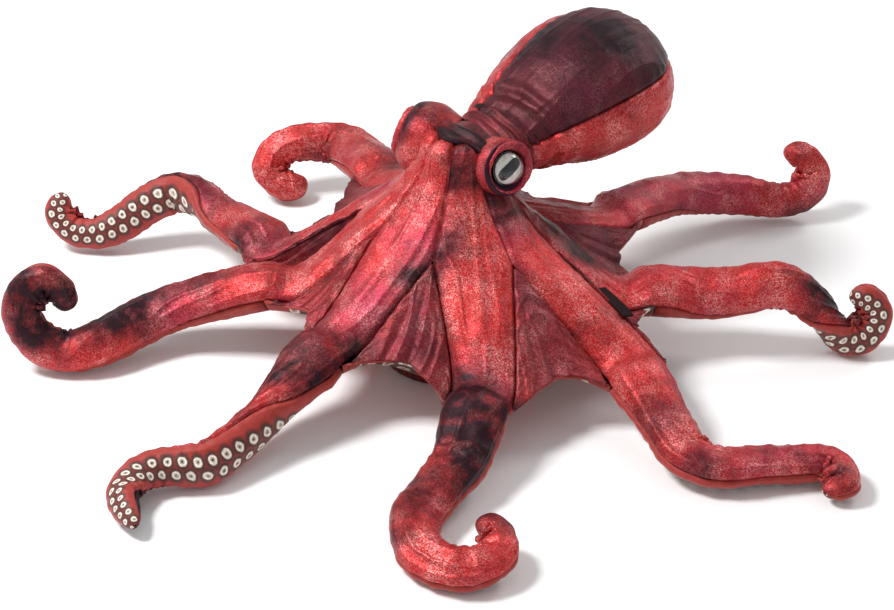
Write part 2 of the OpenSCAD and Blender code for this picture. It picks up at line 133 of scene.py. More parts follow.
# ---- Velour body panels with the arm tops ----
# Eight long panels of sparkling short-pile velour, each cut in one piece from under the head to the tip of
# its arm, then sewn to its neighbours and filled. Sizes are in millimetres, as cut.
MM = 0.001
UP = np.array([0.0, 0.0, 1.0])
CLOTH = 1.8

# Each arm: the points that its middle line runs through from its fold to its tip, for each point the way
# its velour faces, and its dye: place along the panel, depth of maroon, and depth of pink. The place is
# -1 under the head, 0 at the arm's fold and 1 at the tip.
ARMS = {
    "left_1": (
        [[60, -135, 32], [62, -165, 22], [54, -198, 16], [52, -228, 14], [64, -253, 13], [86, -263, 13],
         [105, -258, 14], [115, -244, 17], [108, -229, 22], [94, -226, 26]],
        [[0, 0, 1], [0, 0, 1], [0, -0.2, 1], [0, -0.2, 1], [0, -0.3, 1], [0, -0.3, 1],
         [0, -0.3, 1], [0, -0.3, 1], [-0.1, -0.3, 1], [-0.2, -0.3, 1]],
        [(-1.15, 0.6, 0.2), (-0.98, 0.6, 0.2), (-0.9, 0.1, 0.1), (-0.62, 0.05, 0.05), (-0.5, 0.4, 0.2),
         (-0.38, 0.1, 0.3), (-0.2, 0.7, 0.3), (0.06, 0.85, 0.3), (0.2, 0.25, 0.2), (0.5, 0.05, 0.15),
         (0.8, 0.2, 0.1), (1, 0.6, 0.1)]),
    "left_2": (
        [[165, -60, 34], [188, -85, 24], [206, -102, 18], [230, -104, 15], [255, -91, 14], [280, -79, 13],
         [300, -74, 12], [310, -90, 11], [300, -104, 10]],
        [[0, 0, 1]] * 9,
        [(-1, 0.6, 0.2), (-0.7, 0.6, 0.3), (-0.5, 0.3, 0.1), (-0.2, 0.02, 0.0), (0.1, 0.15, 0.1),
         (0.4, 0.25, 0.2), (0.6, 0.45, 0.3), (1, 0.1, 0.1)]),
    "left_3": (
        [[150, 52, 48], [172, 62, 45], [200, 68, 49], [226, 76, 54], [244, 80, 49], [260, 83, 36],
         [271, 83, 24], [282, 85, 16], [293, 89, 17], [300, 94, 27], [299, 96, 38], [290, 94, 46],
         [279, 92, 47]],
        [[0, 0, 1], [0, -0.4, 0.9], [0.1, -0.6, 0.8], [0.2, -0.8, 0.6], [0.4, -0.6, 0.7],
         [0.6, -0.1, 0.6], [0.3, 0.6, 0.4], [-0.1, 0.85, 0.1]] + [[-0.25, 0.85, -0.1]] * 5,
        [(-1, 0.5, 0.2), (-0.5, 0.3, 0.3), (0, 0.1, 0.1), (0.2, 0.25, 0.3), (0.4, 0.7, 0.5),
         (0.55, 0.55, 0.3), (1, 0.2, 0.1)]),
    "left_4": (
        [[95, 155, 54], [114, 200, 44], [134, 232, 34], [165, 257, 24], [195, 270, 18], [215, 280, 25],
         [217, 288, 39], [207, 287, 51], [191, 285, 56]],
        [[0, 0, 1], [0.1, -0.4, 0.9], [0.2, -0.7, 0.7], [0.2, -0.75, 0.6], [0.25, -0.8, 0.5]]
        + [[0.25, -0.85, 0.4]] * 4,
        [(-1, 0.3, 0.4), (0, 0.2, 0.7), (0.25, 0.35, 0.9), (0.45, 0.75, 0.6), (0.6, 0.25, 0.9),
         (0.8, 0.55, 0.2), (1, 0.5, 0.1)]),
    "right_4": (
        [[-115, 150, 58], [-145, 186, 48], [-165, 200, 44], [-180, 199, 44], [-196, 193, 44],
         [-209, 185, 41], [-216, 177, 33], [-215, 170, 24], [-206, 168, 17], [-194, 171, 15],
         [-184, 176, 19]],
        [[0, 0, 1], [0.1, -0.4, 0.9], [0.2, -0.6, 0.8]] + [[0.2, -0.7, 0.7]] * 8,
        [(-1, 0.2, 0.2), (0, 0.1, 0.1), (1, 0.02, 0.1)]),
    "right_3": (
        [[-170, 32, 50], [-205, 55, 46], [-230, 70, 50], [-255, 78, 48], [-275, 70, 38], [-293, 58, 25],
         [-312, 46, 17], [-332, 42, 19], [-343, 45, 31], [-341, 50, 46]],
        [[0, 0, 1], [0, 0.4, 0.9], [0, 0.8, 0.4], [-0.1, 0.9, 0], [-0.1, 0.9, -0.2]]
        + [[-0.1, 0.9, -0.3]] * 5,
        [(-1, 0.1, 0.2), (-0.4, 0.2, 0.5), (0.1, 0.35, 0.6), (0.4, 0.3, 0.3), (1, 0.5, 0.1)]),
    "right_2": (
        [[-140, -40, 48], [-170, -47, 39], [-200, -58, 30], [-220, -80, 24], [-238, -106, 20],
         [-257, -118, 17], [-274, -121, 24], [-286, -121, 38], [-290, -118, 52], [-285, -113, 63],
         [-275, -108, 68], [-265, -106, 64], [-260, -107, 55], [-259, -109, 46]],
        [[0, 0, 1], [0, -0.2, 1], [0.1, -0.4, 0.9], [0.2, -0.6, 0.8], [0.2, -0.6, 0.8],
         [0.25, -0.7, 0.6]] + [[0.25, -0.85, 0.3]] * 8,
        [(-1, 0.1, 0.1), (-0.5, 0.15, 0.3), (-0.2, 0.45, 0.4), (0.1, 0.1, 0.2), (0.35, 0.35, 0.3),
         (0.55, 0.8, 0.3), (1, 0.9, 0.1)]),
    "right_1": (
        [[-65, -120, 44], [-75, -143, 34], [-83, -165, 26], [-91, -190, 21], [-102, -212, 18],
         [-118, -221, 17], [-133, -228, 16], [-143, -242, 15], [-142, -262, 13], [-122, -286, 12]],
        [[0, 0, 1], [-0.4, 0.1, 0.9], [-0.8, 0.3, 0.4], [-0.8, 0.6, 0], [-0.5, 0.8, -0.2],
         [-0.3, 0.8, -0.4], [-0.2, 0.8, -0.5], [-0.1, 0.8, -0.5], [0, 0.8, -0.5], [0, 0.8, -0.5]],
        [(-1, 0.05, 0.1), (-0.5, 0.3, 0.5), (-0.25, 0.5, 0.5), (0.1, 0.15, 0.2), (0.5, 0.3, 0.2),
         (1, 0.3, 0.1)]),
}
ARM_NAMES = list(ARMS)

# An arm's width at its root and near its tip, its height over its width, and how far short of its fold
# the body panel ends.
ROOT_W, TIP_W, FLAT = 46, 24, 0.72
HALF_H = ROOT_W / 2 * FLAT
SHOULDER = 11.5
# The level turn of the first panel and the step to the next, in degrees.
FIRST_TURN, PANEL_STEP = 292.5, 45
# The ring that the panels start from: its middle, height, radius, and its dip under the mantle.
CROWN = np.array([0, 28, 0])
CROWN_Z, CROWN_R, CROWN_DIP, HEAD_TOP = 146, 34, 34, 173
MANTLE_TURN = math.radians(63)
# How far down its panels two neighbours stay sewn together, and the part of a side seam that this takes.
APEX = 0.42
SPLIT = 1 / 3
# How far down a panel's line the mesh goes, just short of the shoulder.
PANEL_END = 0.985


def unit(v):
    """Vectors of length one along v."""
    return v / np.maximum(np.linalg.norm(v, axis=-1, keepdims=True), 1e-9)


def level(turn):
    """The level direction at an angle in degrees from +X."""
    return np.array([math.cos(math.radians(turn)), math.sin(math.radians(turn)), 0])


def line_at(points, t):
    """A Catmull-Rom line through points: each span is the cubic set by its two ends and their neighbours."""
    p = np.asarray(points, float)
    p = np.vstack([2 * p[0] - p[1], p, 2 * p[-1] - p[-2]])
    x = np.asarray(t, float) * (len(p) - 3)
    i = np.clip(np.floor(x).astype(int), 0, len(p) - 4)
    u = (x - i)[..., None]
    a, b, c, d = p[i], p[i + 1], p[i + 2], p[i + 3]
    return 0.5 * (2 * b + (c - a) * u + (2 * a - 5 * b + 4 * c - d) * u ** 2
                  + (3 * b - a - 3 * c + d) * u ** 3)


def arm_frame(name, t):
    """Middle, sideways, facing and onward directions of an arm at t, 0 at its fold and 1 at its tip."""
    points, facing, _ = ARMS[name]
    middle = line_at(points, t)
    onward = unit(line_at(points, np.minimum(t + 0.01, 1)) - line_at(points, np.maximum(t - 0.01, 0)))
    face = line_at(facing, t)
    face = unit(face - np.sum(face * onward, axis=-1, keepdims=True) * onward)
    return middle, np.cross(onward, face), face, onward


def ridge(i, s):
    """The top line of body panel i: one cubic from the crown ring to the arm's shoulder."""
    middle, _, face, onward = arm_frame(ARM_NAMES[i], 0.0)
    out = level(FIRST_TURN + PANEL_STEP * i)
    dip = CROWN_DIP * max(0, out[0] * math.cos(MANTLE_TURN) + out[1] * math.sin(MANTLE_TURN))
    a = CROWN + CROWN_R * out + (CROWN_Z - dip) * UP
    b = a + 20 * out - 30 * UP
    d = middle - SHOULDER * onward + HALF_H * face
    c = d - 46 * onward
    s = np.asarray(s, float)[..., None]
    return a * (1 - s) ** 3 + 3 * b * s * (1 - s) ** 2 + 3 * c * s * s * (1 - s) + d * s ** 3


def shared_seam(i, t):
    """The seam between panels i and i + 1, from the crown ring at 0 to its apex at 1."""
    t = np.asarray(t, float)
    return (ridge(i, APEX * t) + ridge((i + 1) % 8, APEX * t)) / 2 - 2.5 * t[..., None] * UP


def seam(i, side, s):
    """The side seam of panel i: shared with a neighbour down to the apex, then sewn to a web."""
    middle, sideways, _, onward = arm_frame(ARM_NAMES[i], 0.0)
    k = (i + 7) % 8 if side > 0 else i
    end = middle - SHOULDER * onward + side * ROOT_W / 2 * sideways
    s = np.asarray(s, float)
    low = line_at([shared_seam(k, 1.0), end - 30 * onward, end], (s - SPLIT) / (1 - SPLIT))
    return np.where(s[..., None] < SPLIT, shared_seam(k, np.minimum(s / SPLIT, 1)), low)


def cloud(p, size, seed):
    """Smooth value noise from 0 to 1: random values on a cubic lattice of that size, eased between."""
    table = np.random.default_rng(seed).random(4096)
    q = np.asarray(p, float) / size
    i = np.floor(q).astype(np.int64)
    f = q - i
    f = f * f * (3 - 2 * f)
    total = 0
    for corner in range(8):
        step = np.array([corner & 1, corner >> 1 & 1, corner >> 2 & 1])
        cell = i + step
        pick = (cell[..., 0] * 73856093 ^ cell[..., 1] * 19349663 ^ cell[..., 2] * 83492791) & 4095
        total = total + table[pick] * np.prod(np.where(step == 1, f, 1 - f), axis=-1)
    return total


def grid_normals(p, inside, ring=False):
    """Unit normals of a grid: the cross product of its two directions, turned away from inside."""
    rows = np.gradient(p, axis=0)
    cols = (np.roll(p, -1, axis=1) - np.roll(p, 1, axis=1)) / 2 if ring else np.gradient(p, axis=1)
    n = unit(np.cross(rows, cols))
    return n if np.sum(n * (p - inside)) > 0 else -n


def edge_distance(p):
    """For each grid point, its distance along the cloth to the nearer long edge of the panel."""
    steps = np.linalg.norm(np.diff(p, axis=1), axis=2)
    run = np.concatenate([np.zeros((len(p), 1)), np.cumsum(steps, axis=1)], axis=1)
    return np.minimum(run, run[:, -1:] - run)


def length_along(p):
    """For each grid row, the distance from the first row, measured down the middle."""
    middle = p[:, p.shape[1] // 2]
    return np.concatenate([[0], np.cumsum(np.linalg.norm(np.diff(middle, axis=0), axis=1))])


def ridged(p, size, seed):
    """Sharp-crested noise from 0 to 1, with its crests where the value noise crosses its middle."""
    return (1 - np.abs(2 * cloud(p, size, seed) - 1)) ** 4


def sewn_relief(p, seed, long_folds=1.6, crease=1.3, pucker=0.5):
    """Height of filled, sewn cloth: soft lumps shared with the pieces next to it, folds that run along the
    panel, creases across it in a few places, puckers off the seams, and the seam drawn in as a groove."""
    edge = edge_distance(p)
    along = length_along(p)[:, None] + np.zeros_like(edge)
    run = np.cumsum(np.linalg.norm(np.diff(p, axis=1, prepend=p[:, :1]), axis=2), axis=1)
    middle = run - run[:, -1:] / 2
    inner = np.clip((edge - 1) / 7, 0, 1)
    lumps = 1.6 * (2 * cloud(p, 32, 1) - 1) + 0.5 * (2 * cloud(p, 11, 2) - 1)
    lengthwise = np.stack([middle / 8, along / 60, np.zeros_like(edge)], axis=-1)
    crosswise = np.stack([middle / 40, along / 9, np.zeros_like(edge)], axis=-1)
    patches = np.clip(3 * cloud(p, 38, seed + 4) - 1.3, 0, 1)
    folds = long_folds * (ridged(lengthwise, 1, seed + 5) - 0.25) * inner
    creases = crease * (ridged(crosswise, 1, seed + 6) - 0.2) * patches * inner
    gathers = np.sin(along * 2 * math.pi / 12 + 8 * cloud(p, 22, seed + 2))
    puckers = pucker * gathers * np.exp(-edge / 8) * np.clip(edge / 2, 0, 1)
    groove = -1.7 * np.exp(-(edge / 1.5) ** 2) - 0.9 * np.exp(-edge / 5)
    return lumps + folds + creases + puckers + groove


def mesh_object(name, points, quads, flags):
    """A smooth mesh object at the origin from points in millimetres, with one number per point per flag.
    Cloth that would reach below the table is pressed flat on it."""
    points[:, 2] = np.maximum(points[:, 2], 0.1)
    mesh = bpy.data.meshes.new(name)
    mesh.vertices.add(len(points))
    mesh.vertices.foreach_set("co", (points * MM).astype(np.float32).ravel())
    mesh.loops.add(quads.size)
    mesh.loops.foreach_set("vertex_index", quads.astype(np.int32).ravel())
    mesh.polygons.add(len(quads))
    mesh.polygons.foreach_set("loop_start", np.arange(0, quads.size, 4, dtype=np.int32))
    mesh.update(calc_edges=True)
    mesh.validate()
    mesh.polygons.foreach_set("use_smooth", np.ones(len(mesh.polygons), bool))
    for key, values in flags.items():
        layer = mesh.attributes.new(key, "FLOAT", "POINT")
        layer.data.foreach_set("value", values.astype(np.float32).ravel())
    made = bpy.data.objects.new(name, mesh)
    bpy.context.collection.objects.link(made)
    return made


def cloth_shell(name, p, inside, flags, thick=CLOTH, ring=False):
    """A closed shell from a grid of points: the grid, a copy set in by the cloth's thickness, and a rim.
    With ring, the last column joins the first."""
    rows, cols = p.shape[:2]
    n = grid_normals(p, inside, ring)
    direct = np.cross(np.gradient(p, axis=0), np.gradient(p, axis=1))
    turned = np.sum(direct * n) < 0
    points = np.concatenate([p.reshape(-1, 3), (p - n * thick).reshape(-1, 3)])
    index = np.arange(rows * cols).reshape(rows, cols)
    if ring:
        index = np.concatenate([index, index[:, :1]], axis=1)
    a, b, c, d = index[:-1, :-1], index[1:, :-1], index[1:, 1:], index[:-1, 1:]
    outer = np.stack([a, b, c, d], axis=-1).reshape(-1, 4)
    low = rows * cols
    edges = [index[0], index[-1][::-1]]
    if not ring:
        edges += [index[:, -1], index[:, 0][::-1]]
    rims = [np.stack([e[:-1], e[1:], e[1:] + low, e[:-1] + low], axis=-1) for e in edges]
    quads = np.concatenate([outer, outer[:, ::-1] + low] + rims)
    if turned:
        quads = quads[:, ::-1]
    doubled = {k: np.concatenate([v.ravel(), v.ravel()]) for k, v in flags.items()}
    return mesh_object(name, points, quads, doubled)


def dye(stops, x, p, seed):
    """The maroon and pink depth at each point: the panel's own stops along it, broken up by soft clouds."""
    places = [s[0] for s in stops]
    maroon = np.interp(x, places, [s[1] for s in stops])
    pink = np.interp(x, places, [s[2] for s in stops])
    maroon = maroon - 0.08 + 2.0 * (cloud(p, 44, seed) - 0.5) + 0.7 * (cloud(p, 18, seed + 1) - 0.5)
    pink = pink - 0.1 + 1.2 * (cloud(p, 38, seed + 2) - 0.5) + 0.4 * (cloud(p, 14, seed + 3) - 0.5)
    return {"maroon": np.clip(maroon, 0, 1), "pink": np.clip(pink, 0, 1)}


def arm_half_width(t):
    """Half an arm's width, narrowing to its tip, which is rounded off over the last eighth."""
    full = (ROOT_W + (TIP_W - ROOT_W) * t ** 0.6) / 2
    return full * np.sqrt(np.maximum(1 - np.maximum(0, (t - 0.87) / 0.131) ** 2, 0.0015))


def arm_folds(points, middle, onward, seed):
    """Folds across an arm where it bends: they deepen with how far the bend squeezes the cloth."""
    step = np.maximum(np.linalg.norm(np.gradient(middle, axis=0), axis=1), 1e-6)[:, None]
    bend = np.gradient(onward, axis=0) / step
    squeeze = np.clip(np.sum((points - middle[:, None]) * bend[:, None], axis=2), 0, 0.9)
    run = np.cumsum(step)[:, None]
    waves = np.sin(run * 2 * math.pi / 11 + 8 * cloud(points, 20, seed))
    return 1.5 * squeeze * waves


def drawn_in(p):
    """The one direction that every seam on the body is drawn in along: to the middle and down."""
    return unit(np.stack([-p[..., 0], CROWN[1] - p[..., 1], np.full(p.shape[:-1], -60.0)], axis=-1))


def head_point(turn, f):
    """A point on the head: f is 1 on the crown ring, which dips under the mantle, and 0 at the top."""
    low = CROWN_Z - CROWN_DIP * np.maximum(0, np.cos(turn - MANTLE_TURN))
    r = 35 * np.sin(f * math.pi / 2) ** 0.9
    z = low + (HEAD_TOP - low) * np.maximum(np.cos(f * math.pi / 2), 0) ** 0.85
    return CROWN + np.stack([r * np.cos(turn), r * np.sin(turn), z], axis=-1)


def cap_edge(turn):
    """How far down the head its cap reaches: less at the front, where the panels climb over the brow."""
    front = np.clip(np.cos(turn - MANTLE_TURN - math.pi) + 0.3, 0, 1)
    return np.minimum(1 - 0.66 * front * front * (3 - 2 * front), 0.93)


def smoothed(p, first, last, passes):
    """Rows first to last of a grid averaged with the rows beside them, a number of times."""
    for _ in range(passes):
        p[first:last] = (p[first - 1:last - 1] + 2 * p[first:last] + p[first + 1:last + 1]) / 4
    return p


ARM_T = 1 - (1 - np.linspace(0, 1, 150)) ** 1.12
ARM_Q = np.radians(np.linspace(1, 179, 47))
PANEL_S = np.linspace(0, PANEL_END, 90)
BROW_ROWS = 16


def panel_rows(i):
    """Rows of body panel i, from the cap's edge over the brow and down to the shoulder. Below the crown it is
    an arch between its side seams, nearly flat at the top and a half oval at the shoulder."""
    right, left = seam(i, 1, PANEL_S), seam(i, -1, PANEL_S)
    across = unit(right - left)
    onward = unit(np.gradient(right + left, axis=0))
    out = unit(np.cross(across, onward))
    half = np.linalg.norm(right - left, axis=1)[:, None, None] / 2 - 0.12
    down = PANEL_S[:, None, None]
    swell = 3.6 + (HALF_H - 3.6) * down ** 2.4
    late = np.clip((down - 0.6) / 0.4, 0, 1)
    q = ARM_Q[None, :, None]
    middle = (right + left) / 2
    grid = middle[:, None] + half * np.cos(q) * across[:, None] \
        + swell * np.sin(q) ** (2 - late * late * (3 - 2 * late)) * out[:, None]
    turn = np.arctan2(grid[0, :, 1] - CROWN[1], grid[0, :, 0])[None]
    f = 1 - (1 - cap_edge(turn)) * np.linspace(1, 1 / BROW_ROWS, BROW_ROWS)[:, None]
    brow = head_point(turn, f) + (grid[:1] - head_point(turn, np.ones_like(f))) * f[..., None]
    return smoothed(np.concatenate([brow, grid]), BROW_ROWS - 5, BROW_ROWS + 12, 14)


def arm_rows(name, side):
    """Rows of half an arm: a half oval on the velour side, or on the print side with side = -1."""
    middle, sideways, face, onward = arm_frame(name, ARM_T)
    wide = arm_half_width(ARM_T)[:, None, None]
    q = ARM_Q[None, :, None]
    grid = middle[:, None] + wide * np.cos(q) * sideways[:, None] \
        + side * wide * FLAT * np.sin(q) * face[:, None]
    return grid, middle, onward


def velour(name, bright, rosy, deep):
    """Short-pile stretch velour, dyed in clouds, with a shiny yarn in its pile; its sparkles are painted into
    the colour as pale pink glints, strongest in broad patches of painted sheen.
    """
    made, tree, out = new_material(name)
    place = node(tree, "ShaderNodeTexCoord").outputs["Object"]
    maroon = node(tree, "ShaderNodeAttribute", attribute_name="maroon").outputs["Fac"]
    pink = node(tree, "ShaderNodeAttribute", attribute_name="pink").outputs["Fac"]
    crushed = node(tree, "ShaderNodeTexNoise",
                   {"Vector": place, "Scale": 1 / 0.010, "Detail": 4, "Roughness": 0.62}).outputs["Fac"]
    pile = node(tree, "ShaderNodeTexNoise",
                {"Vector": place, "Scale": 1 / 0.0011, "Detail": 2, "Roughness": 0.7}).outputs["Fac"]
    glint_cells = node(tree, "ShaderNodeTexVoronoi", {"Vector": place, "Scale": 1 / 0.0007})
    sheen_patch_noise = node(tree, "ShaderNodeTexNoise", {"Vector": place, "Scale": 1 / 0.022, "Detail": 2}).outputs["Fac"]
    rose_out = node(tree, "ShaderNodeMix", {0: pink, "A": colour(bright), "B": colour(rosy)},
                    data_type="RGBA").outputs["Result"]
    reach = node(tree, "ShaderNodeMath", {0: crushed, 1: 0.5}, operation="SUBTRACT").outputs[0]
    depth = node(tree, "ShaderNodeMath", {0: reach, 1: 1.3, 2: maroon},
                 operation="MULTIPLY_ADD", use_clamp=True).outputs[0]
    ground = node(tree, "ShaderNodeMix", {0: depth, "A": rose_out, "B": colour(deep)},
                  data_type="RGBA").outputs["Result"]
    gain = node(tree, "ShaderNodeMapRange",
                {"Value": pile, "From Min": 0.3, "From Max": 0.7, "To Min": 0.5, "To Max": 1.5}).outputs[0]
    toned = node(tree, "ShaderNodeMix", {0: 1.0, "A": ground, "B": gain},
                 data_type="RGBA", blend_type="MULTIPLY").outputs["Result"]
    # Painted highlight: random cells of the pile are lightened towards a pale pink brighter than the cloth,
    # most in broad patches of painted sheen, and mixed into the base colour.
    chance = node(tree, "ShaderNodeSeparateColor", {0: glint_cells.outputs["Color"]}).outputs[0]
    painted_sheen_patches = node(tree, "ShaderNodeMapRange",
                   {"Value": sheen_patch_noise, "From Min": 0.46, "From Max": 0.68, "To Min": 0.3}).outputs[0]
    painted_glint_amount = node(tree, "ShaderNodeMath", {0: chance, 1: painted_sheen_patches}, operation="MULTIPLY").outputs[0]
    painted_glint_amount = node(tree, "ShaderNodeMath", {0: painted_glint_amount, 1: chance}, operation="MULTIPLY").outputs[0]
    redness = node(tree, "ShaderNodeSeparateColor", {0: ground}).outputs[0]
    painted_glint_pink = node(tree, "ShaderNodeMix", {0: 1.0, "A": [1.9, 0.8, 0.76, 1], "B": redness},
                 data_type="RGBA", blend_type="MULTIPLY").outputs["Result"]
    painted_glint_colour = node(tree, "ShaderNodeMix", {0: painted_glint_amount, "A": toned, "B": painted_glint_pink},
                 data_type="RGBA").outputs["Result"]
    relief = node(tree, "ShaderNodeMath", {0: pile, 1: chance}, operation="ADD").outputs[0]
    bump = node(tree, "ShaderNodeBump", {"Strength": 0.6, "Distance": 0.0006, "Height": relief})
    cloth = node(tree, "ShaderNodeBsdfPrincipled",
                 {"Base Color": painted_glint_colour, "Roughness": 0.38, "Metallic": 0.45, "Specular IOR Level": 0.3,
                  "Sheen Weight": 0.35, "Sheen Roughness": 0.3, "Sheen Tint": painted_glint_colour,
                  "Normal": bump.outputs[0]})
    tree.links.new(cloth.outputs[0], out.inputs[0])
    return made


red_velour = velour("red_velour", "#b61315", "#9a1c3e", "#290a17")
for i, name in enumerate(ARM_NAMES):
    top = panel_rows(i)
    arm, arm_middle, onward = arm_rows(name, 1)
    outward = grid_normals(arm, arm_middle[:, None])
    arm = arm + outward * arm_folds(arm, arm_middle, onward, 60 + i)[..., None]
    grid = smoothed(np.concatenate([top, arm]), len(top) - 6, len(top) + 8, 5)
    inside = np.concatenate([np.broadcast_to(CROWN + 30 * UP, (len(top), 3)), arm_middle])[:, None]
    turn_over = np.clip((np.arange(len(grid)) - len(top) + 24) / 24, 0, 1)[:, None, None]
    way = unit(-drawn_in(grid) * (1 - turn_over) + grid_normals(grid, inside) * turn_over)
    fade = np.clip((1 - np.concatenate([np.zeros(len(top)), ARM_T])) / 0.1, 0, 1)[:, None]
    relief = sewn_relief(grid, 10 * i + 1) * fade
    brow_seam = -1.8 * np.exp(-(np.arange(len(grid)) / 1.2) ** 2)[:, None]
    grid = grid + way * (relief + brow_seam)[..., None]
    place = np.concatenate([np.linspace(-1.15, -1, BROW_ROWS, endpoint=False), PANEL_S - 1, ARM_T])
    flags = dye(ARMS[name][2], place[:, None] + np.zeros(grid.shape[:2]), grid, 10 * i + 5)
    piece = cloth_shell("velour_" + name, grid, inside, flags)
    piece.data.materials.append(red_velour)
    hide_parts("body_panel_" + name, "arm_top_" + name, "arm_stuffing_" + name)
    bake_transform(piece)

# ---- Sucker print under the arms ----
# A softer velour printed with two rows of cream suckers on red brown, sewn to the velour along both sides
# of the arm. The suckers shrink towards the tip with the arm.


def sucker_print():
    """Screen print: cream rings round a taupe ring and a dark dot, each in a brown halo."""
    made, tree, out = new_material("sucker_print")
    place = node(tree, "ShaderNodeTexCoord").outputs["Object"]
    along = node(tree, "ShaderNodeAttribute", attribute_name="sucker_along").outputs["Fac"]
    across = node(tree, "ShaderNodeAttribute", attribute_name="sucker_across").outputs["Fac"]
    wobble = node(tree, "ShaderNodeTexNoise", {"Vector": place, "Scale": 1 / 0.012, "Detail": 1})
    drift = node(tree, "ShaderNodeMath", {0: wobble.outputs["Fac"], 1: 0.16, 2: along},
                 operation="MULTIPLY_ADD").outputs[0]
    nearest = []
    for offset, row in ((0.0, 0.47), (0.5, -0.47)):
        shifted = node(tree, "ShaderNodeMath", {0: drift, 1: offset}, operation="ADD").outputs[0]
        cell = node(tree, "ShaderNodeMath", {0: shifted}, operation="FRACT").outputs[0]
        dx = node(tree, "ShaderNodeMath", {0: cell, 1: 0.5}, operation="SUBTRACT").outputs[0]
        dx = node(tree, "ShaderNodeMath", {0: dx, 1: 1.15}, operation="MULTIPLY").outputs[0]
        dy = node(tree, "ShaderNodeMath", {0: across, 1: row}, operation="SUBTRACT").outputs[0]
        pair = node(tree, "ShaderNodeCombineXYZ", {0: dx, 1: dy}).outputs[0]
        nearest.append(node(tree, "ShaderNodeVectorMath", {0: pair}, operation="LENGTH").outputs["Value"])
    reach = node(tree, "ShaderNodeMath", {0: nearest[0], 1: nearest[1]}, operation="MINIMUM").outputs[0]
    smudge = node(tree, "ShaderNodeTexNoise",
                  {"Vector": place, "Scale": 1 / 0.0035, "Detail": 1}).outputs["Fac"]
    reach = node(tree, "ShaderNodeMath", {0: smudge, 1: 0.16, 2: reach}, operation="MULTIPLY_ADD").outputs[0]
    reach = node(tree, "ShaderNodeMath", {0: reach, 1: 0.08}, operation="SUBTRACT").outputs[0]
    rings = node(tree, "ShaderNodeValToRGB", {0: reach})
    stops = [(0.0, "#33201c"), (0.05, "#33201c"), (0.09, "#c4b4a6"), (0.15, "#a39080"), (0.19, "#f1e8dd"),
             (0.29, "#e6dacb"), (0.36, "#4a302a"), (0.46, "#4c2019"), (0.6, "#7c241c"), (0.72, "#a02a22")]
    ramp = rings.color_ramp
    while len(ramp.elements) < len(stops):
        ramp.elements.new(0.5)
    for element, (at, hex_value) in zip(ramp.elements, stops):
        element.position = at
        element.color = colour(hex_value)
    pile = node(tree, "ShaderNodeTexNoise",
                {"Vector": place, "Scale": 1 / 0.0016, "Detail": 2, "Roughness": 0.7}).outputs["Fac"]
    gain = node(tree, "ShaderNodeMapRange",
                {"Value": pile, "From Min": 0.3, "From Max": 0.7, "To Min": 0.75, "To Max": 1.2}).outputs[0]
    toned = node(tree, "ShaderNodeMix", {0: 1.0, "A": rings.outputs[0], "B": gain},
                 data_type="RGBA", blend_type="MULTIPLY").outputs["Result"]
    bump = node(tree, "ShaderNodeBump", {"Strength": 0.35, "Distance": 0.0005, "Height": pile})
    cloth = node(tree, "ShaderNodeBsdfPrincipled",
                 {"Base Color": toned, "Roughness": 0.6, "Sheen Weight": 0.2, "Sheen Roughness": 0.4,
                  "Normal": bump.outputs[0]})
    tree.links.new(cloth.outputs[0], out.inputs[0])
    return made


def sucker_flags(grid, spacing):
    """Places on the print, counted in suckers along a row and in sucker spacings across it."""
    run = length_along(grid)
    count = np.concatenate([[0], np.cumsum(np.diff(run) / ((spacing[1:] + spacing[:-1]) / 2))])
    steps = np.linalg.norm(np.diff(grid, axis=1), axis=2)
    span = np.concatenate([np.zeros((len(grid), 1)), np.cumsum(steps, axis=1)], axis=1)
    return {"sucker_along": count[:, None] + np.zeros(grid.shape[:2]),
            "sucker_across": (span - span[:, -1:] / 2) / spacing[:, None]}


printed = sucker_print()
SUCKER_ROOT, SUCKER_TIP = 15, 6.5
for i, name in enumerate(ARM_NAMES):
    arm, arm_middle, onward = arm_rows(name, -1)
    start = arm[:1] - SHOULDER * onward[0]
    arm = np.concatenate([start, arm])
    arm_middle = np.concatenate([arm_middle[:1] - SHOULDER * onward[0], arm_middle])
    onward = np.concatenate([onward[:1], onward])
    t = np.concatenate([[0], ARM_T])
    flags = sucker_flags(arm, SUCKER_ROOT - (SUCKER_ROOT - SUCKER_TIP) * t)
    normals = grid_normals(arm, arm_middle[:, None])
    arm = arm + normals * arm_folds(arm, arm_middle, onward, 60 + i)[..., None]
    fade = np.clip((1 - t) / 0.1, 0, 1)[:, None, None]
    relief = sewn_relief(arm, 10 * i + 2, long_folds=0.8, crease=0.9)[..., None]
    arm = arm + normals * relief * fade
    piece = cloth_shell("sucker_side_" + name, arm, arm_middle[:, None], flags)
    piece.data.materials.append(printed)
    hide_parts("arm_under_" + name)
    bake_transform(piece)

# ---- Webs ----
# A gusset of the same velour, in a wine dye, let in between each two body panels below the point where
# they part. Its free edge arches from arm to arm, and it is crumpled and pleated where the toy sits on it.
# Each web starts at WEB_TOP down the side seams, just above the apex.
WEB_TOP, WEB_ARCH = 0.345, 0.28


def web_grid(i, rows, cols):
    """Web i: carried a little proud between its two seams, with pleats and an arched free edge."""
    u = np.linspace(0.004, 0.996, cols)[None, :]
    v = np.linspace(0, 1, rows)[:, None]
    low = PANEL_END - WEB_ARCH * (4 * u * (1 - u)) ** 0.6
    s = WEB_TOP + (low - WEB_TOP) * v
    a, b = seam(i, -1, s), seam((i + 1) % 8, 1, s)
    middle = a + (b - a) * u[..., None]
    wide = np.linalg.norm(b - a, axis=2)
    pleat = 0.05 * np.exp(-((u - 0.5) / 0.07) ** 2) + 0.03 * np.exp(-((u - 0.26) / 0.06) ** 2)
    lift = wide * (0.16 * u * (1 - u) - pleat * v)
    return middle - drawn_in(middle) * lift[..., None], CROWN + 40 * UP


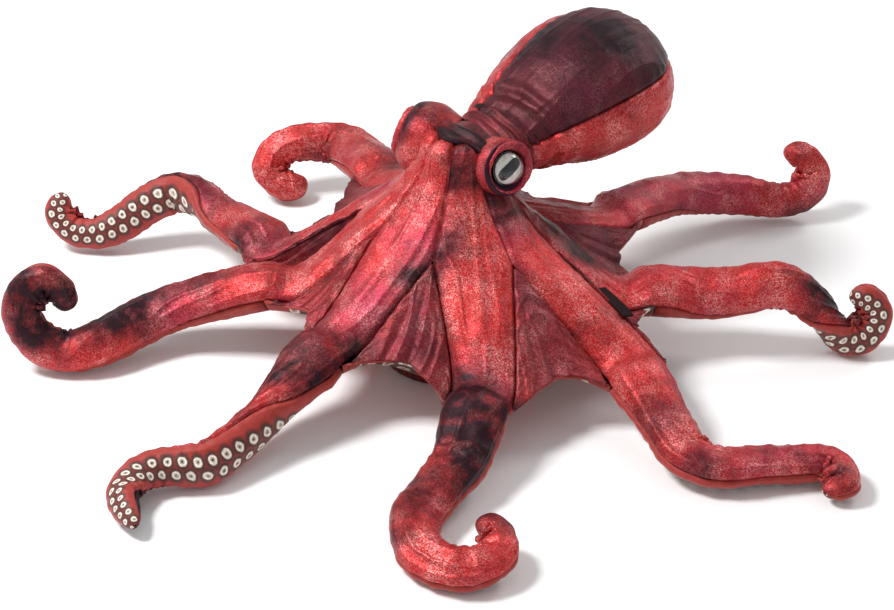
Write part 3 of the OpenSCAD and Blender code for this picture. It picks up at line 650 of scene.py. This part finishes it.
wine_velour = velour("wine_velour", "#86121a", "#701a34", "#240a15")
for i in range(8):
    name = f"web_{ARM_NAMES[i]}_to_{ARM_NAMES[(i + 1) % 8]}"
    grid, inside = web_grid(i, 60, 60)
    relief = sewn_relief(grid, 200 + 7 * i, long_folds=1.5, crease=2.2, pucker=0.8)[..., None]
    grid = grid - drawn_in(grid) * relief
    stops = [(0, 0.25, 0.1), (0.5, 0.35, 0.2), (1, 0.3, 0.3)]
    place = np.linspace(0, 1, 60)[:, None] + np.zeros(grid.shape[:2])
    piece = cloth_shell(name + "_gusset", grid, inside, dye(stops, place, grid, 300 + 7 * i))
    piece.data.materials.append(wine_velour)
    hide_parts(name)
    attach(piece, "body")

# ---- Underside and hand opening ----
# The print carries on from the arms under the body, as one panel round the hand opening. The opening has a
# rolled velour hem, and a woven lining like a mitten is sewn inside it. No suckers are printed near the rim.
OPENING_R, HEM_OUT, HEM_H = 46, 52, 12
UNDER_ROWS, PLAIN_FROM, UNDER_SUCKERS = 40, 32, 15.5


def underside_grid(rows):
    """The underside: straight lines from the hem out to the shoulders and the webs' arched edges."""
    rim = []
    for i, name in enumerate(ARM_NAMES):
        middle, sideways, face, onward = arm_frame(name, 0.0)
        q = np.radians(np.linspace(0, 180, 17))[:, None]
        base = middle - (SHOULDER + 1.5) * onward
        rim.append(base + ROOT_W / 2 * np.cos(q) * sideways - (HALF_H + 0.3) * np.sin(q) * face)
        web, _ = web_grid(i, 3, 26)
        rim.append(web[-1, 1:-1] - 2.2 * UP)
    rim = np.concatenate(rim)
    hem = unit(rim * [1, 1, 0]) * (HEM_OUT + 0.6) + [0, 0, HEM_H * 0.6]
    v = np.linspace(0, 1, rows)[:, None, None]
    return hem + (rim - hem) * v + UP * 26 * v * (1 - v)


grid = underside_grid(UNDER_ROWS)
turn = np.degrees(np.arctan2(grid[..., 1], grid[..., 0])) - FIRST_TURN + PANEL_STEP / 2
sector = turn % PANEL_STEP - PANEL_STEP / 2
mirror = np.where(turn // PANEL_STEP % 2, -1, 1)
reach = np.linalg.norm(grid[..., :2], axis=2)
flags = {"sucker_along": reach / UNDER_SUCKERS,
         "sucker_across": mirror * reach * np.sin(np.radians(sector)) / UNDER_SUCKERS}
flags["sucker_across"][PLAIN_FROM:] += 3
ripple = 1.1 * (2 * cloud(grid, 22, 400) - 1)
ripple = ripple * np.sin(np.linspace(0, math.pi, UNDER_ROWS))[:, None]
grid = grid - UP * ripple[..., None]
underside = cloth_shell("underside", grid, np.array([0, 0, 200]), flags, ring=True)
underside.data.materials.append(printed)
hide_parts("underside_panel", "body_stuffing")
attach(underside, "body")


def woven(name, hex_value, weave_mm, gloss=0.5):
    """Plain-woven nylon: fine crossing ribs and a dull gloss."""
    made, tree, out = new_material(name)
    place = node(tree, "ShaderNodeTexCoord").outputs["Object"]
    rib = node(tree, "ShaderNodeTexWave",
               {"Vector": place, "Scale": 0.3 / (weave_mm * MM), "Distortion": 0.6},
               bands_direction="DIAGONAL").outputs["Fac"]
    tone = node(tree, "ShaderNodeMapRange", {"Value": rib, "To Min": 0.7, "To Max": 1.15}).outputs[0]
    ground = node(tree, "ShaderNodeMix", {0: 1.0, "A": colour(hex_value), "B": tone},
                  data_type="RGBA", blend_type="MULTIPLY").outputs["Result"]
    bump = node(tree, "ShaderNodeBump", {"Strength": 0.4, "Distance": 0.0003, "Height": rib})
    cloth = node(tree, "ShaderNodeBsdfPrincipled",
                 {"Base Color": ground, "Roughness": 0.75, "Specular IOR Level": gloss,
                  "Normal": bump.outputs[0]})
    tree.links.new(cloth.outputs[0], out.inputs[0])
    return made


turn = np.linspace(0, 2 * math.pi, 180, endpoint=False)
around = np.stack([np.cos(turn), np.sin(turn), np.zeros_like(turn)], axis=-1)[None]
roll = np.linspace(0, 2 * math.pi, 25, endpoint=False)[:, None, None]
gather = 0.25 * np.sin(48 * turn)[None, :, None]
half_wall, half_height = (HEM_OUT - OPENING_R) / 2, HEM_H / 2
super_c = np.sign(np.cos(roll)) * np.abs(np.cos(roll)) ** 0.6
super_s = np.sign(np.sin(roll)) * np.abs(np.sin(roll)) ** 0.6
hem = around * (OPENING_R + half_wall + super_c * (half_wall - 0.25 + gather)) \
    + UP * (half_height + super_s * half_height)


def ring_object(name, p, flags):
    """A closed ring from a grid that joins itself both ways."""
    rows, cols = p.shape[:2]
    index = np.arange(rows * cols).reshape(rows, cols)
    down, over = np.roll(index, -1, axis=0), np.roll(index, -1, axis=1)
    quads = np.stack([index, over, np.roll(down, -1, axis=1), down], axis=-1).reshape(-1, 4)
    first = p[quads[:, 0] // cols, quads[:, 0] % cols]
    second = p[quads[:, 1] // cols, quads[:, 1] % cols]
    third = p[quads[:, 3] // cols, quads[:, 3] % cols]
    centre = p.mean(axis=0)[quads[:, 0] % cols]
    if np.sum(np.cross(second - first, third - first) * (first - centre)) < 0:
        quads = quads[:, ::-1]
    return mesh_object(name, p.reshape(-1, 3), quads, flags)


flat = np.full(hem.shape[:2], 0.5)
hem_roll = ring_object("opening_hem", hem, {"maroon": flat, "pink": flat * 0.2})
hem_roll.data.materials.append(wine_velour)
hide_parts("hem_roll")
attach(hem_roll, "body")

profile = line_at([[46, 12], [44, 30], [42, 50], [36, 70], [30, 84], [20, 96], [8, 99.5], [0.4, 100]],
                  np.linspace(0, 1, 46))
lining_grid = around * profile[:, None, :1] + UP * profile[:, None, 1:]
slack = (2 * cloud(lining_grid * [1, 1, 0.5], 14, 500) - 1) * np.sin(np.linspace(0, math.pi, 46))[:, None]
lining_grid = lining_grid - around * (1.2 * slack + 1.2)[..., None] * (profile[:, :1] / OPENING_R)[..., None]
lining = cloth_shell("hand_lining_bag", lining_grid, np.array([0, 0, 60]), {}, thick=1.2, ring=True)
lining.data.materials.append(woven("lining_nylon", "#3a3336", 1.6))
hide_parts("hand_lining")
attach(lining, "body")

# ---- Head ----
# A cap of wine velour closes the head behind the brow, where the body panels end. The filling pushes it up
# against the mantle, so it wrinkles in folds that run with the neck.
turn = np.radians(np.linspace(0, 360, 180, endpoint=False))[None]
fall = np.linspace(0.0, 1, 60)[:, None]
cap = head_point(turn, fall * cap_edge(turn))
to_neck = cap[..., 0] * math.cos(MANTLE_TURN) + (cap[..., 1] - CROWN[1]) * math.sin(MANTLE_TURN)
wrinkle = 1.5 * np.sin(to_neck * 2 * math.pi / 12 + 5 * cloud(cap, 24, 610)) * (0.3 + cloud(cap, 20, 611))
wrinkle = wrinkle * np.clip((1 - fall) / 0.15, 0, 1) - 1.8 * np.exp(-((1 - fall) * 45 / 1.6) ** 2)
wrinkle = wrinkle + 1.6 * (2 * cloud(cap, 32, 1) - 1) + 0.5 * (2 * cloud(cap, 11, 2) - 1)
cap = cap - drawn_in(cap) * wrinkle[..., None]
flags = dye([(0, 1.1, 0.5), (0.9, 1.1, 0.5), (1, 1.0, 0.4)], fall + np.zeros(cap.shape[:2]), cap, 620)
head = cloth_shell("head_dome", cap, CROWN + 100 * UP, flags, ring=True)
head.data.materials.append(wine_velour)
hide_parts("head_cap")
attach(head, "body")

# ---- Eyes ----
# Each eye stands on a padded mound of velour with a dark felted seat. A rolled lid is sewn round it. The
# eye itself is a clear moulded dome over a pearl iris with a slit pupil, on a black back.
# The right eye bulges FAR_EYE farther out from the middle than the left one.
EYE_SPAN, FAR_EYE, EYE_Z, EYE_TURN = 41, 10, 152, -20
DOME_R, IRIS_R, LID_R = 12.4, 11.3, 16.4
PUPIL_LONG, PUPIL_WIDE, PUPIL_LEAN = 10, 4.6, math.radians(27)


def eye_axes(side):
    """Centre of an eye's base, and its across, up and outward directions."""
    turn = EYE_TURN + (0 if side > 0 else 180)
    centre = CROWN + (EYE_SPAN + (0 if side > 0 else FAR_EYE)) * level(turn) + EYE_Z * UP
    out = level(turn - side * 17) * math.cos(math.radians(13)) + UP * math.sin(math.radians(13))
    across = unit(np.cross(UP, out))
    return centre, across, np.cross(out, across), out


def turned_cloth(side, profile):
    """A profile of radius and height turned about an eye's axis."""
    centre, across, lift, out = eye_axes(side)
    a = np.radians(np.linspace(0, 360, 140, endpoint=False))[None, :, None]
    r, z = profile[:, None, :1], profile[:, None, 1:]
    return centre + r * np.cos(a) * across + r * np.sin(a) * lift + z * out


dark_seat = velour("purple_felt", "#3a1430", "#4d1a3c", "#1c0b18")
MOUNDS = {
    1: [[19, -30], [20.5, -18], [21, -10], [20.3, -4], [18.5, -0.5]],
    -1: [[24, -36], [26.5, -27], [27.5, -18], [26, -9], [22.5, -2], [18, 1]],
}
SEAT = [[20, 0.8], [17, 1.0], [14.5, 0.4], [12.6, -1.4]]
loop = np.radians(np.linspace(0, 360, 26, endpoint=False))
for side, name in ((1, "left"), (-1, "right")):
    centre, across, lift, out = eye_axes(side)
    mound = turned_cloth(side, line_at(MOUNDS[side], np.linspace(0, 1, 50)))
    inside = centre - 14 * out
    lumps = 1.6 * (2 * cloud(mound, 14, 700) - 1)
    mound = mound + grid_normals(mound, inside, ring=True) * lumps[..., None]
    # Painted shade: the maroon band round the mound just under its rim stands for the shade under the rolled
    # lid.
    flags = dye([(0, -0.1, 0.0), (0.6, -0.1, 0.0), (0.8, 0.5, 0.1), (1, 0.05, 0.2)],
                np.linspace(0, 1, 50)[:, None] + np.zeros(mound.shape[:2]), mound, 710)
    piece = cloth_shell("eye_mound_" + name, mound, inside, flags, ring=True)
    piece.data.materials.append(red_velour)
    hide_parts("eye_socket_" + name)
    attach(piece, "body")
    seat = turned_cloth(side, line_at(SEAT, np.linspace(0, 1, 12)))
    flat = np.full(seat.shape[:2], 0.5)
    piece = cloth_shell("eye_seat_" + name, seat, centre - 20 * out, {"maroon": flat, "pink": flat},
                        thick=1, ring=True)
    piece.data.materials.append(dark_seat)
    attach(piece, "body")
    a = np.radians(np.linspace(0, 360, 160, endpoint=False))[None]
    fat = 2.0 + 1.6 * np.cos(a - 0.4) + 0.15 * np.sin(17 * a)
    ring_r = LID_R + np.cos(loop)[:, None] * fat
    lid = centre + (ring_r * np.cos(a) + 0.4)[..., None] * across \
        + (ring_r * 1.05 * np.sin(a))[..., None] * lift \
        + (1.6 + np.sin(loop)[:, None] * fat)[..., None] * out
    lid = lid + unit(lid - lid.mean(axis=0)) * (0.7 * (2 * cloud(lid, 7, 720) - 1))[..., None]
    flags = dye([(0, 0.15, 0.4), (1, 0.15, 0.4)], np.zeros(lid.shape[:2]), lid, 730)
    piece = ring_object("eye_lid_" + name, lid, flags)
    piece.data.materials.append(red_velour)
    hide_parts("eyelid_" + name)
    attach(piece, "body")


def moulded(name, settings):
    """A moulded plastic with no grain of its own, only a faint flow unevenness."""
    made, tree, out = new_material(name)
    place = node(tree, "ShaderNodeTexCoord").outputs["Object"]
    flow = node(tree, "ShaderNodeTexNoise", {"Vector": place, "Scale": 1 / 0.006, "Detail": 1}).outputs["Fac"]
    bump = node(tree, "ShaderNodeBump", {"Strength": 0.05, "Distance": 0.0004, "Height": flow})
    plastic = node(tree, "ShaderNodeBsdfPrincipled", {**settings, "Normal": bump.outputs[0]})
    tree.links.new(plastic.outputs[0], out.inputs[0])
    return made


def pearl_iris():
    """Pearl lacquer: cream and grey streaks that run out from the pupil, under a bright gloss."""
    made, tree, out = new_material("pearl_iris")
    place = node(tree, "ShaderNodeTexCoord").outputs["Object"]
    streak = node(tree, "ShaderNodeTexNoise",
                  {"Vector": place, "Scale": 1 / 0.008, "Detail": 3, "Distortion": 1.5}).outputs["Fac"]
    tone = node(tree, "ShaderNodeMapRange", {"Value": streak, "From Min": 0.35, "From Max": 0.65}).outputs[0]
    ground = node(tree, "ShaderNodeMix", {0: tone, "A": colour("#e0d8c2"), "B": colour("#ffffff")},
                  data_type="RGBA").outputs["Result"]
    lacquer = node(tree, "ShaderNodeBsdfPrincipled",
                   {"Base Color": ground, "Roughness": 0.3, "Coat Weight": 0.6})
    tree.links.new(lacquer.outputs[0], out.inputs[0])
    return made


def dress(cad_node, material):
    """Gives a CAD node its finish."""
    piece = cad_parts[cad_node]
    piece.data.materials.clear()
    piece.data.materials.append(material)
    piece.data.polygons.foreach_set("use_smooth", np.zeros(len(piece.data.polygons), bool))


black_plastic = moulded("black_plastic", {"Base Color": colour("#05080b"), "Roughness": 0.25,
                                          "Specular IOR Level": 0.3})
dress("eye_backs", black_plastic)
dress("eye_washers", moulded("white_nylon", {"Base Color": colour("#e6e4df"), "Roughness": 0.45}))
clear = moulded("clear_acrylic", {"Base Color": colour("#ffffff"), "Roughness": 0.02, "IOR": 1.35,
                                  "Transmission Weight": 1.0})
pearl = pearl_iris()


def eye_part(name, side, grid, material, cad_node, thick):
    """A closed moulded shell in an eye, in place of its CAD node."""
    centre, _, _, out = eye_axes(side)
    piece = cloth_shell(name + ("_left" if side > 0 else "_right"), grid, centre - 30 * out, {}, thick, True)
    piece.data.materials.append(material)
    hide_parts(cad_node)
    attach(piece, "body")


for side in (1, -1):
    centre, across, lift, out = eye_axes(side)
    arc = np.radians(np.linspace(0.5, 90, 40))[:, None]
    eye_part("clear_dome", side, turned_cloth(side, DOME_R * np.hstack([np.cos(arc), np.sin(arc) * 0.8])),
             clear, "eye_domes", 0.9)
    k = np.linspace(1, 0, 16)[:, None]
    eye_part("iris", side, turned_cloth(side, np.hstack([IRIS_R * k, 1.2 + 1.6 * (1 - k * k)])),
             pearl, "eye_irises", 0.7)
    a = np.radians(np.linspace(0, 360, 60, endpoint=False))[None]
    long = PUPIL_LONG * k * np.sign(np.cos(a)) * np.abs(np.cos(a)) ** 0.55
    wide = PUPIL_WIDE * k * np.sign(np.sin(a)) * np.abs(np.sin(a)) ** 0.75
    bar = centre + (long * math.cos(PUPIL_LEAN) - wide * math.sin(PUPIL_LEAN))[..., None] * across \
        + (long * math.sin(PUPIL_LEAN) + wide * math.cos(PUPIL_LEAN))[..., None] * lift \
        + (3.3 - 1.6 * (long ** 2 + wide ** 2) / 128)[..., None] * out
    eye_part("slit_pupil", side, bar, black_plastic, "eye_pupils", 0.6)

# ---- Web strap ----
# A short flat elastic tape sewn across the web between the second and third left arms.
STRAP_S, STRAP_HALF_W = 0.56, 5
side_a, side_b = seam(1, -1, STRAP_S), seam(2, 1, STRAP_S)
away = unit(np.array([0.6, -0.2, 0.75]))
run = np.linspace(-0.04, 1.04, 40)[:, None, None]
width = unit(np.cross(side_b - side_a, away)) * np.linspace(-STRAP_HALF_W, STRAP_HALF_W, 17)[None, :, None]
tape = side_a + (side_b - side_a) * run + width + away * (3.6 + 4 * run * (1 - run))
strap = cloth_shell("strap", tape, side_a - 60 * away, {}, thick=1.2)
strap.data.materials.append(woven("elastic_tape", "#1c080c", 1.2, 0.15))
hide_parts("web_strap")
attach(strap, "body")

# ---- Mantle ----
# The stuffed bag behind the head, from four gores: a dark back panel, a red gusset down each side and a
# red belly. It is closed by the seam at the neck, where it folds up and down.
MANTLE_L, MANTLE_W, MANTLE_H, NECK_W, NECK_H = 150, 127, 104, 80, 50
rise = math.radians(7)
mantle_axis = np.array([math.cos(MANTLE_TURN) * math.cos(rise), math.sin(MANTLE_TURN) * math.cos(rise),
                        math.sin(rise)])
mantle_side = unit(np.cross(mantle_axis, UP))
mantle_up = np.cross(mantle_side, mantle_axis)
mantle_root = CROWN + (EYE_Z - 2) * UP + 48 * level(63)
WIDEST = 0.56


def mantle_half(t, neck, full):
    """Half the mantle's width: a sine from the neck to its widest place, then a blunt oval end. Below 0 it
    turns in round the neck's knuckle."""
    swell = (neck + (full - neck) * np.sin(np.pi / 2 * np.clip(t, 0, WIDEST) / WIDEST)) / 2
    tail = full / 2 * np.sqrt(np.maximum(1 - (np.maximum(t - WIDEST, 0) / (1.00001 - WIDEST)) ** 2.4, 0))
    knuckle = np.sqrt(np.maximum(1 - (np.minimum(t, 0) * MANTLE_L / 23.5) ** 2, 0.02))
    return np.where(t < WIDEST, swell, tail) * knuckle


def mantle_grid(q0, q1, cols):
    """One gore of the mantle between two angles about its axis."""
    t = np.concatenate([np.linspace(-0.15, 0, 18)[:-1], 1 - (1 - np.linspace(0, 1, 120)) ** 1.5])[:, None]
    q = np.radians(np.linspace(q0, q1, cols))[None]
    middle = mantle_root + t[..., None] * MANTLE_L * mantle_axis
    grid = middle + (mantle_half(t, NECK_W, MANTLE_W) * np.cos(q))[..., None] * mantle_side \
        + (mantle_half(t, NECK_H, MANTLE_H) * np.sin(q))[..., None] * mantle_up
    return grid, middle, t


maroon_velour = velour("maroon_velour", "#561320", "#5c1830", "#1f0914")
GORES = (
    ("mantle_back", 19.6, 122.4, 70, maroon_velour, "velour_maroon", "mantle_back_panel",
     [(-0.2, 0.8, 0.1), (0.3, 0.7, 0.35), (0.7, 0.6, 0.5), (1, 0.7, 0.2)]),
    ("mantle_gusset_left", 122.6, 185.4, 40, red_velour, "velour_red", "mantle_side_gusset",
     [(-0.2, 0.5, 0.2), (0.2, 0.15, 0.2), (1, 0.2, 0.2)]),
    ("mantle_gusset_right", -43.4, 19.4, 40, red_velour, "velour_red", "mantle_side_gusset",
     [(-0.2, 0.2, 0.1), (0.5, 0.1, 0.0), (1, 0.15, 0.0)]),
    ("mantle_belly", 185.6, 316.4, 70, red_velour, "velour_red", "mantle_belly_panel",
     [(-0.2, 0.2, 0.1), (0.5, 0.15, 0.1), (1, 0.2, 0.1)]),
)
for name, q0, q1, cols, finish, slot, cad_node, stops in GORES:
    grid, middle, t = mantle_grid(q0, q1, cols)
    ends = np.clip((1 - t) / 0.12, 0, 1) * np.clip((t + 0.16) / 0.1, 0, 1)
    relief = sewn_relief(grid, 800 + round(q0), long_folds=1.0, crease=0.8) * ends
    near = 1.8 * np.exp(-((t - 0.03) / 0.08) ** 2)
    neck_folds = near * np.sin(t * 2 * math.pi / 0.085 + 5 * cloud(grid, 30, 820))
    grid = grid + grid_normals(grid, middle) * (relief + neck_folds)[..., None]
    flags = dye(stops, t + np.zeros(grid.shape[:2]), grid, 830 + round(q0))
    piece = cloth_shell(name, grid, middle, flags)
    piece.data.materials.append(finish)
    if name == "mantle_back":
        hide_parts(cad_node, "mantle_stuffing")
    else:
        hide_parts(cad_node)
    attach(piece, "mantle")

# ---- Neck collar ----
# The gathered neck between the head and the mantle: one sleeve of wine velour, pushed up in folds.
COLLAR_FROM, COLLAR_TO = -0.23, 0.045
run = np.linspace(COLLAR_FROM, COLLAR_TO, 64)[:, None]
turn = np.radians(np.linspace(0, 360, 160, endpoint=False))[None]
middle = mantle_root + run[..., None] * MANTLE_L * mantle_axis
ease = (run - COLLAR_FROM) / (COLLAR_TO - COLLAR_FROM)
wide = 30 + 9 * ease
tall = 19 + 5.2 * ease
sleeve = middle + (wide * np.cos(turn))[..., None] * mantle_side \
    + (tall * np.sin(turn))[..., None] * mantle_up
folds = 1.7 * np.sin(ease * 2 * math.pi * 4.5 + 6 * cloud(sleeve, 26, 902)) * (0.4 + cloud(sleeve, 18, 903))
folds = folds * np.clip((1 - ease) / 0.15, 0, 1) - 4 * np.exp(-((ease - 0.84) / 0.08) ** 2)
sleeve = sleeve + grid_normals(sleeve, middle, ring=True) * folds[..., None]
top = np.clip(4 * (np.cos(turn - math.radians(65)) - 0.3), 0, 1) + np.zeros(sleeve.shape[:2])
flags = dye([(0, 0.1, 0.1), (1, 1.1, 0.5)], top, sleeve, 910)
collar = cloth_shell("neck_collar", sleeve, middle, flags, ring=True)
collar.data.materials.append(wine_velour)
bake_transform(collar)
